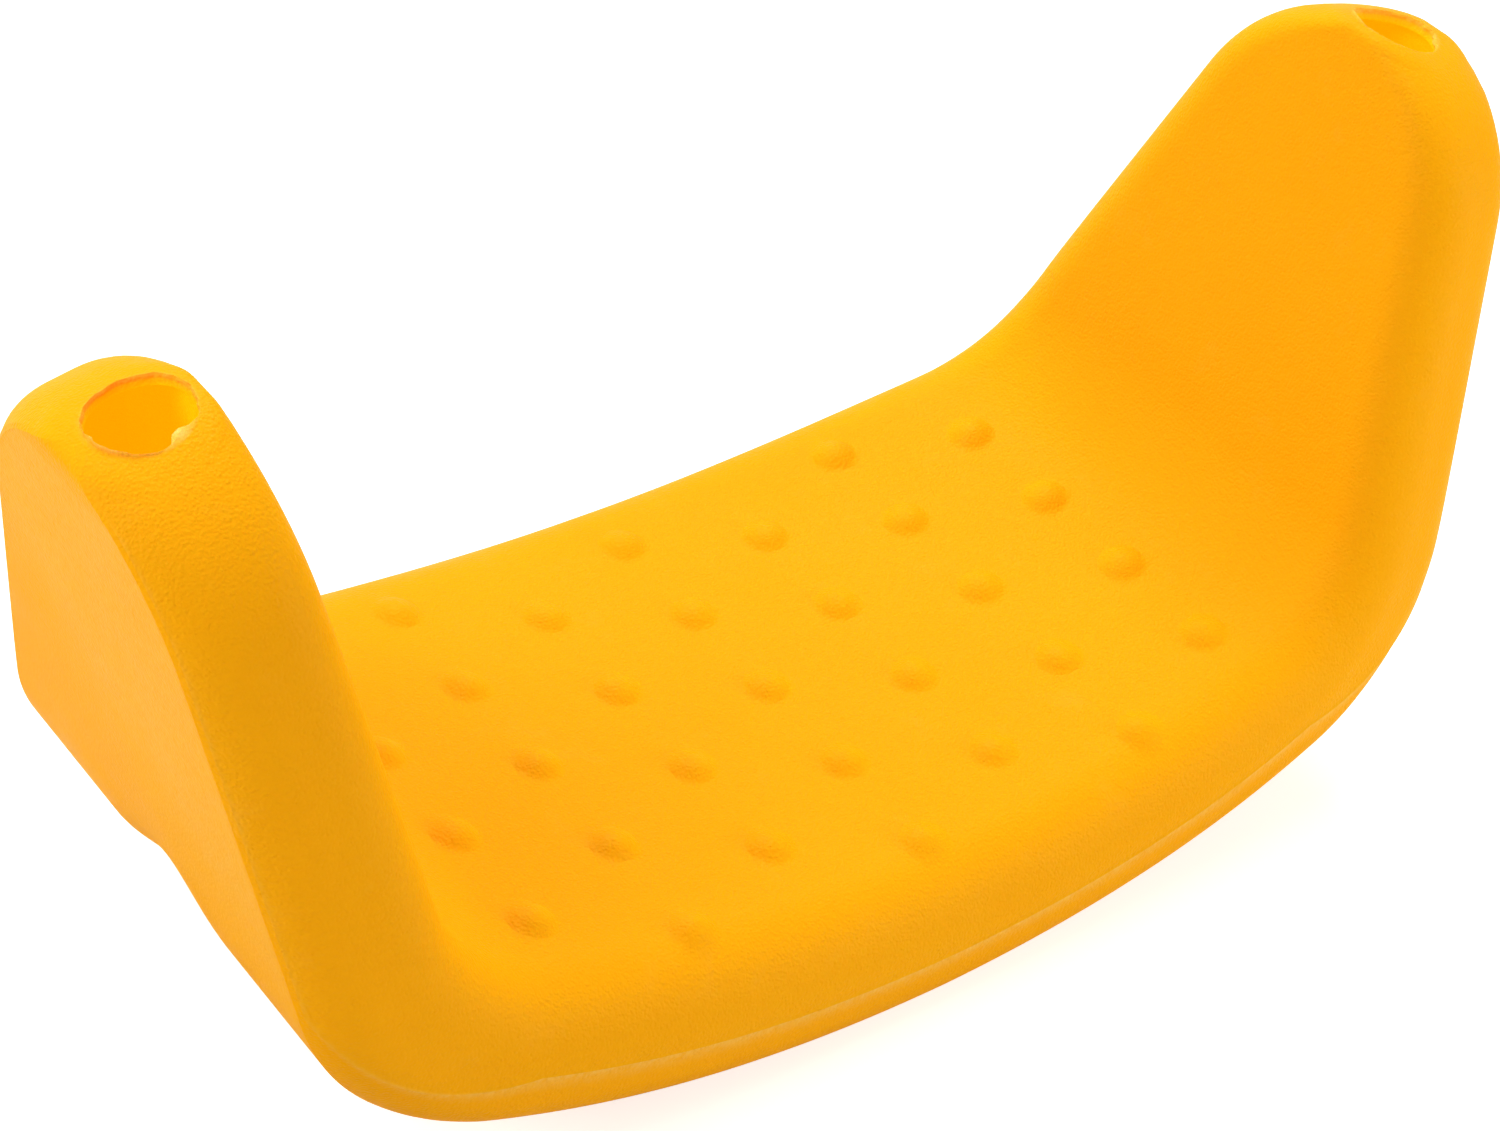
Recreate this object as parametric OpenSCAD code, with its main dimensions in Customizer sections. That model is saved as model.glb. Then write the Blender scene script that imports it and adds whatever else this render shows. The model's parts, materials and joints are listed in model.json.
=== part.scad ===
// Hollow swing seat for a child, blow-moulded in one colour of plastic.
// X runs along the seat from wing to wing, the front edge faces -Y, and the seat stands on Z = 0.

/* [Seat] */
// Depth of the seat from front to back
seat_depth = 180; // [150:1:210]
// Radius of the dished floor along the seat's length
floor_radius = 520; // [480:2:700]
// Radius of the rocker-shaped underside
underside_radius = 454; // [420:2:560]
// Thickness of the hollow floor at its middle
floor_thick = 42; // [39:0.5:48]
// Wall of the moulding
wall = 3; // [2:0.1:4]

/* [Wings] */
// Distance from the middle of the seat to a wing's middle plane, at the underside's level
wing_reach = 146; // [138:0.5:170]
// Outward lean of a wing
wing_lean = 12.8; // [8:0.1:16]
// Length of a wing's middle line, from the underside's level to the tip
wing_len = 200; // [180:0.5:230]
// Thickness of a wing, carried on down to the underside's level
wing_base_thick = 42.5; // [38:0.5:48]
// Thickness of a wing, carried on up to the tip
wing_tip_thick = 34.5; // [33:0.5:42]
// Angle by which a wing's front and back edges draw in
wing_taper = 17; // [13:0.5:20]
// Radius of the tip, seen along the seat
tip_radius = 50; // [40:0.5:55]
// Height over which the two faces of a wing round into the tip
tip_round = 9; // [7:0.5:14]
// Fullness of that rounding: 2 is an ellipse, and more is squarer
tip_fullness = 3; // [2:0.1:4]
// Radius of the shoulder where a wing's edge leaves the straight edge of the seat
shoulder_radius = 285; // [150:5:300]

/* [Bends and edges] */
// Fillet between the floor and a wing
inner_bend = 40; // [20:1:50]
// Bend between the underside and a wing's outer face
outer_bend = 65.5; // [54:0.5:70]
// Rounding of the floor's front and back edges
floor_edge = 19; // [14:0.5:20]
// Rounding of the underside's front and back edges
under_edge = 14; // [9:0.5:15]
// Rounding of a wing's inner edges
wing_inner_edge = 16; // [10:0.5:18]
// Rounding of a wing's outer edges, which the flat outer face cuts off in a crease
wing_outer_edge = 17.5; // [15.5:0.5:20]
// Height of that rounding's centre above the outer face
crease_rise = 15; // [9:0.5:15]

/* [Seam] */
// Height of the seam above the underside, along the floor
seam_floor = 20.5; // [18:0.5:22]
// Distance of the seam from a wing's outer face, just past the crease
seam_wing = 2; // [1:0.5:5]

/* [Rope holes] */
// Diameter of the hole in a wing's tip
rope_inlet_d = 24; // [16:0.5:26]
// Distance of that hole from a wing's middle plane, towards the seat
inlet_shift = 2; // [0:0.5:2.5]
// Diameter of the hole in the outer bend, where the rope comes out and is knotted
rope_outlet_d = 16; // [10:0.5:20]
// Distance of that hole from a wing's middle plane, away from the seat
outlet_shift = 6; // [0:0.5:10]
// Depth of the dimple round the outlet
dimple_depth = 6; // [3:0.5:10]
// Radius of the dimple round the outlet
dimple_radius = 30; // [24:1:36]
// How many times as far the dimple runs up towards the wing
dimple_stretch = 1.8; // [1:0.1:2]

/* [Studs] */
// Diameter of a grip stud
stud_d = 12; // [8:0.5:16]
// Height of a grip stud
stud_h = 2.2; // [1.2:0.1:3]
// Distance between the columns of studs, along the seat
stud_col_pitch = 37; // [30:0.5:38]
// Distance between the studs of a column
stud_row_pitch = 33; // [26:0.5:34]
// Columns on each side of the middle one
stud_side_cols = 3; // [1:1:3]
// Studs in the middle column, and one fewer in its neighbours
stud_rows = 5; // [3:1:5]
// Place of the middle row, forward of the seat's middle
stud_shift = 3; // [0:0.5:5]

/* [Hidden] */
skin_color = "#f9a90d";

// Facets: rings of the half floor, bend, wing and tip, then steps round one section
floor_rings = 8;
bend_rings = 8;
wing_rings = 10;
tip_rings = 5;
side_steps = 5;
edge_steps = 4;
top_steps = 4;
under_steps = 10;

// How much the rings of a wing draw together towards its tip
ring_crowd = 0.6;
// How far round the tip the last ring lies, which stays inside the rope hole
tip_end = 0.82;
// How much the steps of a section's side draw together towards the seam
side_crowd = 1.3;
// Least straight part of a section's side, as a share of its height
side_share = 0.03;
// Largest share of a section's height, or of its half width, that its roundings take
round_share = 0.8;
// Depth to which a stud is rooted in the wall
stud_root = wall / 2;
// Length by which a drill passes the wall on both sides
drill_over = 12;

// Middle plane of the right wing: axis up along it, and normal towards the seat's middle
wing_up = [sin(wing_lean), cos(wing_lean)];
wing_in = [-cos(wing_lean), sin(wing_lean)];
wing_foot = [wing_reach, 0];
half_growth = (wing_tip_thick - wing_base_thick) / (2 * wing_len);

// Straight lines of a wing's outer and inner faces in the XZ plane
outer_dir = unit(wing_up - wing_in * half_growth);
inner_dir = unit(wing_up + wing_in * half_growth);
outer_foot = wing_foot - wing_in * wing_base_thick / 2;
inner_foot = wing_foot + wing_in * wing_base_thick / 2;

// Centres of the underside, the floor and the two bends
under_centre = [0, underside_radius];
floor_centre = [0, floor_thick + floor_radius];
outer_centre = bend_centre(under_centre, underside_radius, outer_foot, outer_dir, outer_bend);
inner_centre = bend_centre(floor_centre, floor_radius, inner_foot, inner_dir, inner_bend);
outer_start = angle_under(under_centre, outer_centre);
inner_start = angle_under(floor_centre, inner_centre);
outer_end = atan2(outer_dir[1], outer_dir[0]);
inner_end = atan2(inner_dir[1], inner_dir[0]);

// Side outline of a wing, measured down from its tip
half_depth = seat_depth / 2;
taper_line = tip_radius / cos(wing_taper) - tip_radius * tan(wing_taper);
shoulder_end = (half_depth - taper_line) / tan(wing_taper) + shoulder_radius * tan(wing_taper / 2);

// Rope outlet: the place where a line along a wing, outlet_shift outside its middle, leaves the bend
outlet_foot = wing_foot - wing_in * outlet_shift;
outlet_side = dot(outer_centre - outlet_foot, wing_in);
outlet_up = dot(outer_centre - outlet_foot, wing_up) - sqrt(pow(outer_bend, 2) - pow(outlet_side, 2));
outlet_point = outlet_foot + wing_up * outlet_up;
outlet_in = unit(outer_centre - outlet_point);

function dot(a, b) = a[0] * b[0] + a[1] * b[1];
function unit(a) = a / norm(a);
function mix(a, b, k) = a + (b - a) * k;
function clamp(x, low, high) = min(max(x, low), high);

// Centre of a fillet that lies inside an arc and on the seat's side of a line
function bend_centre(centre, radius, foot, dir, fillet) =
    let (start = foot + [-dir[1], dir[0]] * fillet,
         gap = start - centre,
         along = dot(gap, dir),
         rest = dot(gap, gap) - pow(radius - fillet, 2))
    start + dir * (-along - sqrt(along * along - rest));

// Angle of a point seen from a centre above it, from straight down towards +X
function angle_under(centre, point) = atan2(point[0] - centre[0], centre[1] - point[1]);
function on_arc(centre, radius, angle) = centre + radius * [sin(angle), -cos(angle)];

// Half thickness of a wing at a height on its middle line
function wing_half(up) = wing_base_thick / 2 + half_growth * up;

// Ring numbers, counted from the seat's middle to a tip
bend_first = floor_rings;
wing_first = bend_first + bend_rings;
tip_first = wing_first + wing_rings;
last_ring = tip_first + tip_rings;

// Share of a wing's straight face below ring i
function wing_step(i) =
    let (part = (i - wing_first) / wing_rings)
    mix(part, sin(90 * part), ring_crowd);

// Outer and inner point of ring i in the XZ plane, set in from the surface by inset
function outer_point(i, inset) =
    i < bend_first ? on_arc(under_centre, underside_radius - inset, outer_start * i / floor_rings)
    : i < wing_first ? on_arc(outer_centre, outer_bend - inset,
                              mix(outer_start, outer_end, (i - bend_first) / bend_rings))
    : i < tip_first ? mix(on_arc(outer_centre, outer_bend - inset, outer_end),
                          tip_point(0, inset, -1), wing_step(i))
    : tip_point(tip_end * (i - tip_first) / tip_rings, inset, -1);
function inner_point(i, inset) =
    i < bend_first ? on_arc(floor_centre, floor_radius + inset, inner_start * i / floor_rings)
    : i < wing_first ? on_arc(inner_centre, inner_bend + inset,
                              mix(inner_start, inner_end, (i - bend_first) / bend_rings))
    : i < tip_first ? mix(on_arc(inner_centre, inner_bend + inset, inner_end),
                          tip_point(0, inset, 1), wing_step(i))
    : tip_point(tip_end * (i - tip_first) / tip_rings, inset, 1);

// Quarter of a squared ellipse that rounds a wing's face into its tip, side -1 outside and 1 inside
function tip_point(turn, inset, side) =
    let (power = 2 / tip_fullness,
         up = wing_len - tip_round + (tip_round - inset) * pow(sin(90 * turn), power),
         half = (wing_half(wing_len - tip_round) - inset) * pow(cos(90 * turn), power))
    wing_foot + wing_up * up + wing_in * half * side;

// Half depth of the seat at a distance down from the tip: tip arc, taper, shoulder arc, straight edge
function half_width(down, inset) =
    let (arc = tip_radius - inset,
         shoulder = shoulder_radius - inset)
    down > shoulder_end ? half_depth - inset
    : down > shoulder_end - shoulder * sin(wing_taper) ?
        half_depth - shoulder_radius + sqrt(pow(shoulder, 2) - pow(shoulder_end - down, 2))
    : down > tip_radius - arc * sin(wing_taper) ?
        taper_line + down * tan(wing_taper) - inset / cos(wing_taper)
    : sqrt(pow(arc, 2) - pow(tip_radius - down, 2));

// How far ring i belongs to the wing: 0 on the floor, 1 from the end of the bend
function wing_share(i) = clamp((i - bend_first) / bend_rings, 0, 1);

// How far ring i lies round the tip, where the crease dies out
function tip_share(i) = max((i - tip_first) / tip_rings, 0);

// Points of an edge rounding, evenly turned, and points between the two ends of a straight stretch
function arc_steps(first, centre, radius, from, to) =
    [for (n = [first:edge_steps])
        let (angle = mix(from, to, n / edge_steps))
        centre + radius * [cos(angle), sin(angle)]];
function row_steps(from, to, steps, height) =
    [for (n = [1:steps - 1]) [mix(from, to, n / steps), height]];
function mirrored(points) =
    [for (n = [len(points) - 1:-1:0]) [-points[n][0], points[n][1]]];

// Closed section of ring i as [depth, height] pairs: a rounded oblong, walked from the front seam
// over the top to the back seam and back along the bottom. On a wing the flat bottom cuts into the
// lower rounding, whose centre then lies lower than its radius, and leaves a crease.
function section(i, inset) =
    let (low = outer_point(i, inset),
         high = inner_point(i, inset),
         tall = norm(high - low),
         down = wing_len - dot((low + high) / 2 - wing_foot, wing_up),
         wide = half_width(down, inset),
         share = wing_share(i),
         rise_wish = mix(under_edge, crease_rise, share),
         seam_wish = mix(seam_floor, seam_wing, share),
         top_wish = mix(floor_edge, wing_inner_edge, share) - inset,
         low_wish = mix(under_edge, wing_outer_edge, share) - inset,
         fit = min(1, round_share * tall / (top_wish + rise_wish - inset),
                   round_share * wide / max(top_wish, low_wish)),
         top_r = top_wish * fit,
         low_r = low_wish * fit,
         rise = mix((rise_wish - inset) * fit, low_r, tip_share(i)),
         seam = min(rise * min(seam_wish / rise_wish, 1) + max(seam_wish - rise_wish, 0),
                    (1 - side_share) * tall - top_r),
         seam_turn = asin(max(rise - seam, 0) / low_r),
         low_turn = asin(min(rise / low_r, 1)),
         low_end = wide - low_r * (1 - cos(low_turn)),
         back_side = [for (n = [0:side_steps - 1])
             let (height = mix(seam, tall - top_r, pow(n / side_steps, side_crowd)))
             [wide - low_r + sqrt(pow(low_r, 2) - pow(max(rise - height, 0), 2)), height]],
         back_top = arc_steps(0, [wide - top_r, tall - top_r], top_r, 90, 0),
         back_low = arc_steps(1, [wide - low_r, rise], low_r, -seam_turn, -low_turn))
    concat([for (n = [0:side_steps - 1]) [-back_side[n][0], back_side[n][1]]],
           mirrored(back_top),
           row_steps(top_r - wide, wide - top_r, top_steps, tall),
           back_top,
           [for (n = [side_steps - 1:-1:0]) back_side[n]],
           back_low,
           row_steps(low_end, -low_end, under_steps, 0),
           mirrored(back_low));

// Steps of the upper and the lower part of a section, from seam to seam
upper_steps = 2 * (side_steps + edge_steps) + top_steps;
lower_steps = 2 * edge_steps + under_steps;
loop = upper_steps + lower_steps;

// Shift of a point of the lower part by the dimple round the rope outlet
function dimple(point, y) =
    let (across = dot(point - outlet_point, [outlet_in[1], -outlet_in[0]]),
         reach = across > 0 ? across / dimple_stretch : across,
         away = sqrt(reach * reach + y * y) / dimple_radius)
    away < 1 ? outlet_in * dimple_depth * pow(1 - away * away, 2) : [0, 0];

// Points of ring i, from the front seam over the floor to the back seam and back underneath
function ring(i, inset) =
    let (k = abs(i),
         low = outer_point(k, inset),
         up = unit(inner_point(k, inset) - low),
         cut = section(k, inset),
         side = i < 0 ? -1 : 1)
    [for (n = [0:loop - 1])
        let (flat = low + up * cut[n][1],
             point = n > upper_steps ? flat + dimple(flat, cut[n][0]) : flat)
        [side * point[0], cut[n][0], point[1]]];

ring_count = 2 * last_ring + 1;
skin_points = [for (inset = [0, wall]) for (i = [-last_ring:last_ring]) each ring(i, inset)];

// Number of a point: layer 0 outside and 1 inside the wall
function at(layer, i, n) = (layer * ring_count + i + last_ring) * loop + n % loop;

// Both faces of the wall over rings i to i + 1 and one step n of the section
function wall_faces(i, n) = [
    [at(0, i, n), at(0, i, n + 1), at(0, i + 1, n + 1), at(0, i + 1, n)],
    [at(1, i, n), at(1, i + 1, n), at(1, i + 1, n + 1), at(1, i, n + 1)]];

// Edge of the wall along the seam at step n, facing the step before it
function seam_face(i, n) = [at(0, i, n), at(0, i + 1, n), at(1, i + 1, n), at(1, i, n)];
// Edge of the wall across ring i, facing the ring before it
function end_face(i, n) = [at(0, i, n), at(1, i, n), at(1, i, n + 1), at(0, i, n + 1)];
function turned(face) = [for (n = [len(face) - 1:-1:0]) face[n]];

upper_faces = concat(
    [for (i = [-tip_first:tip_first - 1]) for (n = [0:upper_steps - 1]) each wall_faces(i, n)],
    [for (i = [tip_first:last_ring - 1]) for (n = [0:loop - 1]) each wall_faces(i, n)],
    [for (i = [-last_ring:-tip_first - 1]) for (n = [0:loop - 1]) each wall_faces(i, n)],
    [for (i = [-tip_first:tip_first - 1]) each [seam_face(i, 0), turned(seam_face(i, upper_steps))]],
    [for (n = [upper_steps:loop - 1]) each [end_face(tip_first, n), turned(end_face(-tip_first, n))]],
    [[for (n = [0:loop - 1]) at(0, last_ring, n)], [for (n = [loop - 1:-1:0]) at(0, -last_ring, n)],
     [for (n = [loop - 1:-1:0]) at(1, last_ring, n)], [for (n = [0:loop - 1]) at(1, -last_ring, n)]]);

lower_faces = concat(
    [for (i = [-tip_first:tip_first - 1]) for (n = [upper_steps:loop - 1]) each wall_faces(i, n)],
    [for (i = [-tip_first:tip_first - 1]) each [seam_face(i, upper_steps), turned(seam_face(i, 0))]],
    [for (n = [upper_steps:loop - 1]) each [end_face(-tip_first, n), turned(end_face(tip_first, n))]]);

// Drill along a wing, through the tip
module inlet_drill() {
    translate([wing_reach, 0, 0])
        rotate([0, wing_lean, 0])
            translate([-inlet_shift, 0, wing_len - tip_round - wall])
                cylinder(d = rope_inlet_d, h = tip_round + wall + drill_over, $fn = 64);
}

// Drill square to the wall, through the middle of the dimple
module outlet_drill() {
    translate([outlet_point[0], 0, outlet_point[1]])
        rotate([0, atan2(outlet_in[0], outlet_in[1]), 0])
            translate([0, 0, dimple_depth - drill_over])
                cylinder(d = rope_outlet_d, h = wall + 2 * drill_over, $fn = 64);
}

// Grip stud: the cap of a ball, with its foot in the wall
module stud() {
    ball = (stud_d * stud_d / 4 + stud_h * stud_h) / (2 * stud_h);
    rotate_extrude($fn = 32)
        intersection() {
            translate([0, stud_h - ball])
                circle(ball, $fn = 96);
            translate([0, -stud_root])
                square([ball, stud_h + stud_root]);
        }
}

// Columns of studs on the dished floor, every other column set between its neighbours
module stud_field() {
    for (col = [-stud_side_cols:stud_side_cols]) {
        rows = stud_rows - abs(col) % 2;
        for (row = [0:rows - 1])
            translate([0, (row - (rows - 1) / 2) * stud_row_pitch - stud_shift, floor_centre[1]])
                rotate([0, -col * stud_col_pitch / floor_radius * 180 / PI, 0])
                    translate([0, 0, -floor_radius])
                        stud();
    }
}

// Upper half of the moulding: floor, inner faces and edges of the wings, and both tips
module upper_skin() {
    color(skin_color)
        difference() {
            union() {
                polyhedron(skin_points, upper_faces, convexity = 8);
                stud_field();
            }
            for (side = [0, 1])
                mirror([side, 0, 0])
                    inlet_drill();
        }
}

// Lower half of the moulding: underside and outer faces of the wings
module lower_skin() {
    color(skin_color)
        difference() {
            polyhedron(skin_points, lower_faces, convexity = 8);
            for (side = [0, 1])
                mirror([side, 0, 0])
                    outlet_drill();
        }
}

upper_skin();
lower_skin();
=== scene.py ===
import json
import bpy
import numpy as np
from mathutils import Matrix


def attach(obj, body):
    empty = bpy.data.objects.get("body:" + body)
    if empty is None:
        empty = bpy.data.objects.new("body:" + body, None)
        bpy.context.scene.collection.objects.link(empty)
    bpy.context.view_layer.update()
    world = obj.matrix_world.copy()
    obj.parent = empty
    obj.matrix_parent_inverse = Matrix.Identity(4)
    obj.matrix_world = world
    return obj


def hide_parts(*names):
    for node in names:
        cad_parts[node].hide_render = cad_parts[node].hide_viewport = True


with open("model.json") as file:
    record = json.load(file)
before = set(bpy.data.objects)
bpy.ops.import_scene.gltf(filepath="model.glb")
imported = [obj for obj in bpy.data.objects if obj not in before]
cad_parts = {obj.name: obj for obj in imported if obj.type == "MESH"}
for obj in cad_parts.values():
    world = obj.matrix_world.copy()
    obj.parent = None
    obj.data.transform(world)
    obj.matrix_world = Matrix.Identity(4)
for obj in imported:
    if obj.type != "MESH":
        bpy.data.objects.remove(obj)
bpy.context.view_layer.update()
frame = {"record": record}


# Upper skin: the half of the hollow moulding that a child touches, with the dished floor and its
# studs, the inner faces of both wings and the tips. It is polyethylene, yellow all through, blown
# in one shot with the lower skin and joined to it by the pinched seam.
SEAT_DEPTH = 0.180
WALL = 0.003
FLOOR_R = 0.520
UNDERSIDE_R = 0.454
FLOOR_THICK = 0.042
WING_REACH = 0.146
WING_LEAN = np.radians(12.8)
WING_LEN = 0.200
WING_BASE_THICK = 0.0425
WING_TIP_THICK = 0.0345
WING_TAPER = np.radians(17)
TIP_R = 0.050
TIP_ROUND = 0.0085
TIP_FULLNESS = 6.0
SHOULDER_R = 0.300
BEND_SINK = 0.0024
BEND_SINK_DOWN = 0.152
BEND_SINK_SPREAD = 0.026
INNER_BEND = 0.040
OUTER_BEND = 0.0655
FLOOR_EDGE = 0.019
UNDER_EDGE = 0.014
WING_INNER_EDGE = 0.016
WING_OUTER_EDGE = 0.0175
# A wing's outer edge is widest CREASE_RISE over the outer face, which is less than its rounding's
# radius and leaves the crease. The crease dies out over the share CREASE_FADE of the tip
CREASE_RISE = 0.015
CREASE_FADE = 0.82
# Height of the seam over the underside and over a wing's outer face
SEAM_FLOOR = 0.0205
SEAM_WING = 0.001
# Least share of the height between the seam and the top edge's rounding, most share of the height
# and of the half depth that the roundings may take, and the power that crowds steps at the seam
SIDE_SHARE = 0.03
ROUND_SHARE = 0.8
SIDE_CROWD = 1.5
# Ring where a tip starts, and steps round the section at the middles of the faces and at the seams
TIP_START = 3
TOP_MIDDLE, BACK_SEAM, LOW_MIDDLE, FRONT_SEAM = 2.5, 5, 6.5, 8
FLASH_HEIGHT = 0.00025
FLASH_WIDTH = 0.0005

wing_up = np.array([np.sin(WING_LEAN), np.cos(WING_LEAN)])
wing_in = np.array([-np.cos(WING_LEAN), np.sin(WING_LEAN)])
wing_foot = np.array([WING_REACH, 0.0])
half_growth = (WING_TIP_THICK - WING_BASE_THICK) / (2 * WING_LEN)
tip_half = WING_BASE_THICK / 2 + half_growth * (WING_LEN - TIP_ROUND)


def bend_between(centre, radius, foot, direction, fillet):
    """Fillet inside an arc and beside a line: its centre lies one fillet radius in from both. Gives
    that centre and the angles, from straight down, where it leaves the arc and meets the line."""
    direction = direction / np.linalg.norm(direction)
    start = foot + np.array([-direction[1], direction[0]]) * fillet
    gap = start - centre
    along = gap @ direction
    back = along + np.sqrt(along ** 2 - gap @ gap + (radius - fillet) ** 2)
    middle = start - direction * back
    first = np.arctan2(middle[0], centre[1] - middle[1])
    return middle, first, np.arctan2(direction[1], direction[0])


under_centre = np.array([0.0, UNDERSIDE_R])
floor_centre = np.array([0.0, FLOOR_THICK + FLOOR_R])
outer_centre, outer_start, outer_end = bend_between(
    under_centre, UNDERSIDE_R, wing_foot - wing_in * WING_BASE_THICK / 2,
    wing_up - wing_in * half_growth, OUTER_BEND)
inner_centre, inner_start, inner_end = bend_between(
    floor_centre, FLOOR_R, wing_foot + wing_in * WING_BASE_THICK / 2,
    wing_up + wing_in * half_growth, INNER_BEND)


def on_arc(centre, radius, angle):
    """Point of an arc in the XZ plane, its angle counted from straight down towards +X."""
    return centre + radius * np.stack([np.sin(angle), -np.cos(angle)], -1)


def face_line(k, inset, side):
    """Profile of the outer (side -1) or inner (side 1) face in the XZ plane: k runs 0 to 1 along
    the floor's arc, 1 to 2 round the bend, 2 to 3 straight up the wing and 3 to 4 over the tip,
    which is a quarter of a squared ellipse."""
    if side < 0:
        base, base_r = under_centre, UNDERSIDE_R - inset
        bend, bend_r = outer_centre, OUTER_BEND - inset
        first, last = outer_start, outer_end
    else:
        base, base_r = floor_centre, FLOOR_R + inset
        bend, bend_r = inner_centre, INNER_BEND + inset
        first, last = inner_start, inner_end
    turn = np.clip(k - TIP_START, 0, 1) * np.pi / 2
    power = 2 / TIP_FULLNESS
    climb = WING_LEN - TIP_ROUND + (TIP_ROUND - inset) * np.sin(turn) ** power
    reach = side * (tip_half - inset) * np.clip(np.cos(turn), 0, 1) ** power
    tip = wing_foot + wing_up * climb[..., None] + wing_in * reach[..., None]
    foot = on_arc(bend, bend_r, np.full(k.shape, last))
    head = wing_foot + wing_up * (WING_LEN - TIP_ROUND) + wing_in * side * (tip_half - inset)
    step = k[..., None]
    wing = foot + (head - foot) * np.clip(step - 2, 0, 1)
    curve = on_arc(bend, bend_r, first + (last - first) * np.clip(k - 1, 0, 1))
    floor = on_arc(base, base_r, first * np.clip(k, 0, 1))
    return np.where(step < 1, floor, np.where(step < 2, curve, np.where(step < 3, wing, tip)))


def half_width(down, inset):
    """Half depth of the seat at a distance down from the tip: the tip's arc, the straight taper,
    the shoulder's arc and the straight edge of the seat, all moved in by inset, less the slight
    sink where the blown wall shrinks in the bend."""
    arc, shoulder = TIP_R - inset, SHOULDER_R - inset
    taper = TIP_R / np.cos(WING_TAPER) - TIP_R * np.tan(WING_TAPER)
    foot = (SEAT_DEPTH / 2 - taper) / np.tan(WING_TAPER) + SHOULDER_R * np.tan(WING_TAPER / 2)
    round_tip = np.sqrt(np.maximum(arc ** 2 - (TIP_R - down) ** 2, 0))
    straight = taper + down * np.tan(WING_TAPER) - inset / np.cos(WING_TAPER)
    bow = SEAT_DEPTH / 2 - SHOULDER_R + np.sqrt(np.maximum(shoulder ** 2 - (foot - down) ** 2, 0))
    sink = BEND_SINK * np.exp(-((down - BEND_SINK_DOWN) / BEND_SINK_SPREAD) ** 2)
    wing_edge = np.where(down > TIP_R - arc * np.sin(WING_TAPER), straight, round_tip)
    edge = np.where(down > foot - shoulder * np.sin(WING_TAPER), bow, wing_edge)
    return np.where(down > foot, SEAT_DEPTH / 2 - inset, edge) - sink


def from_seam(s):
    """How far step s of the section is from the nearer seam, in steps of the section."""
    over, under = np.minimum(s, BACK_SEAM - s), np.minimum(s - BACK_SEAM, FRONT_SEAM - s)
    return np.where(s < BACK_SEAM, over, under)


def moulding(u, s, inset, flash=0.0):
    """Point of the moulding at ring u, negative on the left, and step s round its section, set in
    from the surface by inset. The section is a rounded oblong between the two faces: s 0 to 1 is
    the front side from the seam up, 1 to 2 its top edge, 2 to 3 the top, 3 to 5 the same at the
    back, 5 to 6 the back low edge, 6 to 7 the bottom and 7 to 8 the front low edge. On a wing the
    flat outer face cuts into the low edge's rounding, which leaves a crease that dies out at the
    tip. flash is the height of the ridge that stands out along the seam."""
    k = np.abs(u)
    low, high = face_line(k, inset, -1), face_line(k, inset, 1)
    tall = np.maximum(np.linalg.norm(high - low, axis=-1), 1e-9)
    up = (high - low) / tall[..., None]
    wide = half_width(WING_LEN - ((low + high) / 2 - wing_foot) @ wing_up, inset)
    share = np.clip(k - 1, 0, 1)
    tip = np.clip((k - TIP_START) / CREASE_FADE, 0, 1)
    rise_wish = UNDER_EDGE + (CREASE_RISE - UNDER_EDGE) * share
    seam_wish = SEAM_FLOOR + (SEAM_WING - SEAM_FLOOR) * share
    top_wish = FLOOR_EDGE + (WING_INNER_EDGE - FLOOR_EDGE) * share - inset
    low_wish = UNDER_EDGE + (WING_OUTER_EDGE - UNDER_EDGE) * share - inset
    fit = np.minimum(1, np.minimum(ROUND_SHARE * tall / (top_wish + rise_wish - inset),
                                   ROUND_SHARE * wide / np.maximum(top_wish, low_wish)))
    top_r, low_r = top_wish * fit, low_wish * fit
    rise = (rise_wish - inset) * fit
    rise = rise + (low_r - rise) * tip
    seam = rise * np.minimum(seam_wish / rise_wish, 1) + np.maximum(seam_wish - rise_wish, 0)
    seam = np.minimum(seam, (1 - SIDE_SHARE) * tall - top_r)
    q = from_seam(s)
    side = np.where((s < TOP_MIDDLE) | (s > LOW_MIDDLE), -1.0, 1.0)

    climb = seam + (tall - top_r - seam) * np.clip(q, 0, 1) ** SIDE_CROWD
    flank = wide - low_r + np.sqrt(np.maximum(low_r ** 2 - np.maximum(rise - climb, 0) ** 2, 0))
    quarter = np.clip(q - 1, 0, 1) * np.pi / 2
    top_y = np.where(q < 1, flank, np.where(q < 2, wide - top_r * (1 - np.cos(quarter)),
                                            (wide - top_r) * (5 - 2 * q)))
    top_h = np.where(q < 1, climb, np.where(q < 2, tall - top_r * (1 - np.sin(quarter)), tall))

    low_turn = np.arcsin(np.clip(rise / low_r, 0, 1))
    seam_turn = np.arcsin(np.clip((rise - seam) / low_r, 0, 1))
    straight = np.maximum(seam - rise, 0)
    walk = np.clip(q, 0, 1) * (straight + low_r * (low_turn - seam_turn))
    turn = seam_turn + np.maximum(walk - straight, 0) / low_r
    low_end = wide - low_r + low_r * np.cos(low_turn)
    low_y = np.where(q < 1, wide - low_r + low_r * np.cos(turn), low_end * (3 - 2 * q))
    low_h = np.where(q < 1, np.where(walk < straight, seam - walk, rise - low_r * np.sin(turn)), 0)

    y, h = np.where(s < BACK_SEAM, top_y, low_y), np.where(s < BACK_SEAM, top_h, low_h)
    y = y + flash * (1 - tip) * np.exp(-((h - seam) / FLASH_WIDTH) ** 2)
    xz = low + up * h[..., None]
    return np.stack([np.where(u < 0, -1, 1) * xz[..., 0], side * y, xz[..., 1]], -1)


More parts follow.
